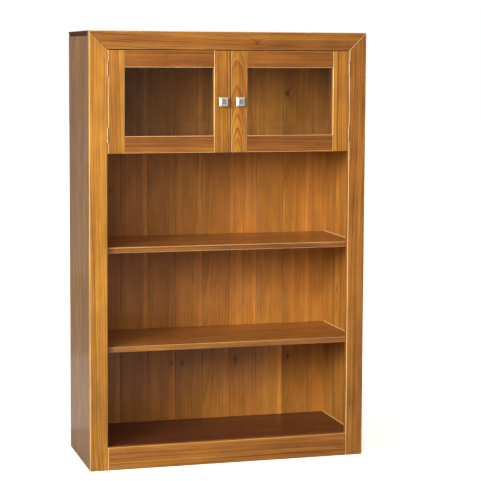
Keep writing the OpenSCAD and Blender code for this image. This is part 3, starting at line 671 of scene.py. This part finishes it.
def metal_material(name, colour, dark, rough, metallic=1.0, face=None):
    """Metal or hard plastic with fine brush marks, patches of tarnish or dust, and arrises brightened where
    it wears.

    face is the colour given to the flats that look to the front, when it is another one: a painted reflection
    of the grey-blue room that they mirror.
    """
    material, made, shader = principled_material(name)
    place = made.place()
    marks = made.noise(place, BRUSH_SCALE, 3.0, 0.6)
    tarnish = made.ease(made.noise(place, TARNISH_SCALE, 4.0, 0.6), *TARNISH)
    dulled = made.math("MULTIPLY", tarnish, METAL_COLOUR["tarnish"])
    base = made.mix(dulled, (*colour, 1.0), (*dark, 1.0))
    base = made.mix(made.math("MULTIPLY", marks, METAL_COLOUR["marks"]), base, (*dark, 1.0))
    # Painted reflection: the flats that look to the front take the grey-blue of the room they would mirror.
    if face:
        facing = made.math("ABSOLUTE", made.split(made.normal())[1])
        flat = made.math("MULTIPLY", made.ease(facing, *FACING), made.ease(marks, *FACE_MARKS))
        base = made.mix(flat, base, (*face, 1.0))
    pale_edge = made.math("MULTIPLY", arris_mask(made), METAL_COLOUR["pale_edge"])
    bright = (*(min(1.0, value * BRIGHT_GAIN + BRIGHT_LIFT) for value in colour), 1.0)
    finish = made.swing(marks, METAL_ROUGHNESS["marks"], rough)
    finish = made.math("MULTIPLY_ADD", tarnish, METAL_ROUGHNESS["tarnish"], finish)
    polish = made.math("MULTIPLY", pale_edge, METAL_ROUGHNESS["pale_edge"])
    finish = made.math("SUBTRACT", finish, polish, clamp=True)
    pits = made.math("MULTIPLY", made.noise(place, PIT_SCALE), METAL_RELIEF["pits"])
    height = made.math("MULTIPLY_ADD", marks, METAL_RELIEF["marks"], pits)
    relief = made.node("ShaderNodeBump", Strength=0.12, Distance=0.0002, Height=height)
    made.feed(shader.inputs["Base Color"], made.mix(pale_edge, base, bright))
    made.feed(shader.inputs["Roughness"], finish)
    made.feed(shader.inputs["Normal"], relief.outputs["Normal"])
    made.feed(shader.inputs["Metallic"], metallic)
    return material


FILM_SCALE = (9.0, 9.0, 14.0)
WIPE_SCALE = (14.0, 14.0, 90.0)
WAVE_SCALE = 12.0
FILM = (0.40, 0.75)                         # the noise's values between which the film of dust sets in
WIPES = (0.30, 0.70, 0.4, 1.0)              # and how much of it the strokes of a cloth leave
CLEAN_TINT, DUSTY_TINT = (0.985, 0.992, 0.987, 1.0), (0.940, 0.950, 0.945, 1.0)
CLEAN_GLOSS, DUSTY_GLOSS = (0.95, 0.92, 0.88, 1.0), (0.82, 0.80, 0.77, 1.0)
CLEAN_ROUGHNESS, DUST_ROUGHNESS = 0.015, 0.10
HEAD_ON_SHARE = 0.04                        # share of the light that a face of the pane reflects head on


def glass_material():
    """Clear float glass: light goes straight through the pane, and a faint film of dust shows on it."""
    material, made, surface = new_material("clear_glass")
    place = made.place()
    film = made.noise(place, FILM_SCALE, 5.0, 0.65)
    wipes = made.noise(place, WIPE_SCALE)
    smear = made.math("MULTIPLY", made.ease(film, *FILM), made.ease(wipes, *WIPES))
    clear = made.node("ShaderNodeBsdfTransparent", Color=made.mix(smear, CLEAN_TINT, DUSTY_TINT))
    relief = made.noise(place, WAVE_SCALE)
    waves = made.node("ShaderNodeBump", Strength=0.02, Distance=0.001, Height=relief)
    gloss = made.node(
        "ShaderNodeBsdfGlossy",
        Color=made.mix(smear, CLEAN_GLOSS, DUSTY_GLOSS),
        Roughness=made.math("MULTIPLY_ADD", smear, DUST_ROUGHNESS, CLEAN_ROUGHNESS),
        Normal=waves.outputs["Normal"],
    )
    # Schlick's rule gives both faces the same share of reflection, whichever way the light crosses them.
    turned = made.node("ShaderNodeLayerWeight", Blend=0.5, Normal=waves.outputs["Normal"]).outputs["Facing"]
    share = made.math(
        "MULTIPLY_ADD", made.math("POWER", turned, 5.0), 1.0 - HEAD_ON_SHARE, HEAD_ON_SHARE
    )
    pane = made.node("ShaderNodeMixShader", Fac=share)
    made.feed(pane.inputs[1], clear.outputs[0])
    made.feed(pane.inputs[2], gloss.outputs[0])
    made.feed(surface, pane.outputs[0])
    return material


def dress_fittings():
    """The knobs, hinges, catches, screws, nails and panes, by the slot that the record gives each."""
    finishes = {
        # The knobs' front flats carry a painted reflection.
        "knob_metal": metal_material(
            "satin_nickel", (0.96, 0.95, 0.93), (0.80, 0.81, 0.83), 0.34, 0.75, face=(0.36, 0.40, 0.46)
        ),
        "antique_brass": metal_material("antique_brass", (0.50, 0.34, 0.18), (0.32, 0.20, 0.10), 0.52),
        "steel": metal_material("zinc_plated_steel", (0.60, 0.60, 0.58), (0.30, 0.29, 0.27), 0.34),
        "magnet": metal_material("ferrite", (0.10, 0.10, 0.11), (0.05, 0.05, 0.05), 0.55, 0.0),
        "brown_plastic": metal_material(
            "brown_plastic", (0.13, 0.055, 0.025), (0.07, 0.03, 0.015), 0.42, 0.0
        ),
        "glass": glass_material(),
    }
    for node in sorted(nodes):
        if slot_name(node) in finishes:
            dress(node, finishes[slot_name(node)])


dress_fittings()
dress_wood()

# ------------------------------------------------------------------------------------ floor and light

FLOOR_HALF_SIDE = 30.0
FLOOR_TINTS = (0.86, 0.86, 0.86, 1.0), (0.90, 0.90, 0.895, 1.0)
FLOOR_BOUNCE = (0.50, 0.50, 0.50, 1.0)      # its colour for the light that it sends back to the bookcase
FLOOR_GLOW = (0.70, 1.2)
FLOOR_NEAR, FLOOR_FAR = 0.6, 3.0            # distances from the bookcase at which the glow is least and most
STUDIO_COLOUR = (1.0, 0.87, 0.74, 1.0)
SKY = (0.15, 0.85)                          # the heights in the sky between which its light grows
WORLD_LIGHT = (0.09, 0.45)                  # strength of the studio's light near the horizon and overhead
WARM = (1.0, 0.97, 0.93)
MIDDLE = Vector((0.0, 0.0, HEIGHT / 2))


def make_floor():
    """A plain pale studio floor, lit evenly where the camera sees it."""
    mesh = bpy.data.meshes.new("studio_floor")
    around = ((-1, -1), (1, -1), (1, 1), (-1, 1))
    corners = [(x * FLOOR_HALF_SIDE, y * FLOOR_HALF_SIDE, 0.0) for x, y in around]
    mesh.from_pydata(corners, [], [(0, 1, 2, 3)])
    floor = bpy.data.objects.new("studio_floor", mesh)
    bpy.context.scene.collection.objects.link(floor)
    material, made, shader = principled_material("pale_floor")
    place = made.place()
    cloud = made.noise(place, 0.8, 3.0)
    tint = made.mix(cloud, *FLOOR_TINTS)
    glow = made.ease(made.vector("LENGTH", place), FLOOR_NEAR, FLOOR_FAR, *FLOOR_GLOW)
    seen = made.node("ShaderNodeLightPath").outputs["Is Camera Ray"]
    made.feed(shader.inputs["Base Color"], made.mix(seen, FLOOR_BOUNCE, tint))
    made.feed(shader.inputs["Roughness"], made.math("MULTIPLY_ADD", cloud, 0.1, 0.75))
    made.feed(shader.inputs["Specular IOR Level"], 0.1)
    made.feed(shader.inputs["Emission Color"], tint)
    made.feed(shader.inputs["Emission Strength"], made.math("MULTIPLY", glow, seen))
    mesh.materials.append(material)


def area_light(name, place, target, size, power, colour=(1.0, 1.0, 1.0), only=(), skips=()):
    """A soft rectangular lamp at place that looks at target. It lights only those nodes, or skips those."""
    data = bpy.data.lights.new(name, "AREA")
    data.shape = "RECTANGLE"
    data.size, data.size_y = size
    data.energy = power
    data.color = colour
    lamp = bpy.data.objects.new(name, data)
    lamp.location = place
    lamp.rotation_euler = (Vector(target) - Vector(place)).to_track_quat("-Z", "Y").to_euler()
    lamp.visible_camera = False
    bpy.context.scene.collection.objects.link(lamp)
    if only or skips:
        lit = bpy.data.collections.new(name + "_receivers")
        for node in only or skips:
            lit.objects.link(nodes[node])
        for link in lit.collection_objects:
            link.light_linking.link_state = "INCLUDE" if only else "EXCLUDE"
        lamp.light_linking.receiver_collection = lit
    return lamp


def card_light(name, place, target, size, power, skips=()):
    """A white card that shows only as a reflection in the lacquer."""
    area_light(name, place, target, size, power, skips=skips).visible_diffuse = False


def make_world():
    """A white studio: white where the camera sees it, and dimmer as a source of light and reflections."""
    world = bpy.data.worlds.new("studio")
    bpy.context.scene.world = world
    world.use_nodes = True
    world.node_tree.nodes.clear()
    made = Tree(world.node_tree)
    up = made.split(made.node("ShaderNodeTexCoord").outputs["Generated"])[2]
    strength = made.ease(up, *SKY, *WORLD_LIGHT)
    lit = made.node("ShaderNodeBackground", Color=STUDIO_COLOUR, Strength=strength)
    seen = made.node("ShaderNodeBackground", Color=WHITE, Strength=1.0)
    shown = made.node("ShaderNodeMixShader", Fac=made.node("ShaderNodeLightPath").outputs["Is Camera Ray"])
    made.feed(shown.inputs[1], lit.outputs[0])
    made.feed(shown.inputs[2], seen.outputs[0])
    output = made.node("ShaderNodeOutputWorld")
    made.feed(output.inputs["Surface"], shown.outputs[0])


def make_lamps():
    """The front lamps, which stand high at the left, the lamps for the other sides, and the cards."""
    top_board = ("top_board",)
    left_side = ("left_side_panel", "top_board")
    right_side = ("right_side_panel", "frame_right_stile")
    area_light("key", (-1.5, -3.2, 2.0), MIDDLE, (2.0, 1.8), 46.0, WARM)
    area_light("cross", (-3.3, -2.8, 2.0), MIDDLE, (1.4, 1.4), 158.0, WARM, skips=left_side)
    area_light("rear", (1.6, 3.6, 2.4), MIDDLE, (1.5, 1.5), 45.0, WARM, skips=top_board)
    area_light("side", (-3.5, -1.5, 1.3), MIDDLE, (1.5, 1.5), 16.0, only=left_side)
    area_light("far_side", (3.5, 0.3, 1.3), MIDDLE, (1.5, 1.5), 30.0, WARM, only=right_side)
    card_light("right_card", (3.2, -2.0, 1.0), MIDDLE, (1.4, 2.6), 30.0)
    card_light("wall_card", (-1.9, 4.2, 1.3), MIDDLE, (3.2, 2.6), 5.0, skips=top_board)
    card_light("floor_card", (-1.0, 1.2, 0.004), (-1.0, 1.2, 1.0), (1.3, 1.5), 1.6)


make_floor()
make_world()
make_lamps()

# ------------------------------------------------------------------------------------ camera

CAMERA_BACK = 5.334                         # metres in front of the face frame
CAMERA_LEFT = 1.492                         # to the left of the middle
CAMERA_HEIGHT = 1.407                       # above the floor
YAW, PITCH, ROLL = (math.radians(angle) for angle in (15.99, 5.24, -0.28))
LENS = 120.7                                # millimetres, on a sensor 36 mm wide
SHIFT_Y = -0.07


def make_camera():
    """A long lens in front of the bookcase and to its left, near the height of its top."""
    data = bpy.data.cameras.new("camera")
    data.sensor_width = 36.0
    data.lens = LENS
    data.shift_y = SHIFT_Y
    data.clip_end = 200.0
    camera = bpy.data.objects.new("camera", data)
    bpy.context.scene.collection.objects.link(camera)
    level = Matrix.Rotation(-YAW, 3, "Z") @ Matrix.Rotation(math.pi / 2 - PITCH, 3, "X")
    turn = level @ Matrix.Rotation(-ROLL, 3, "Z")
    place = Matrix.Translation((-CAMERA_LEFT, FRONT_Y - CAMERA_BACK, CAMERA_HEIGHT))
    camera.matrix_world = place @ turn.to_4x4()
    bpy.context.scene.camera = camera


make_camera()
bpy.context.scene.view_settings.view_transform = "Standard"
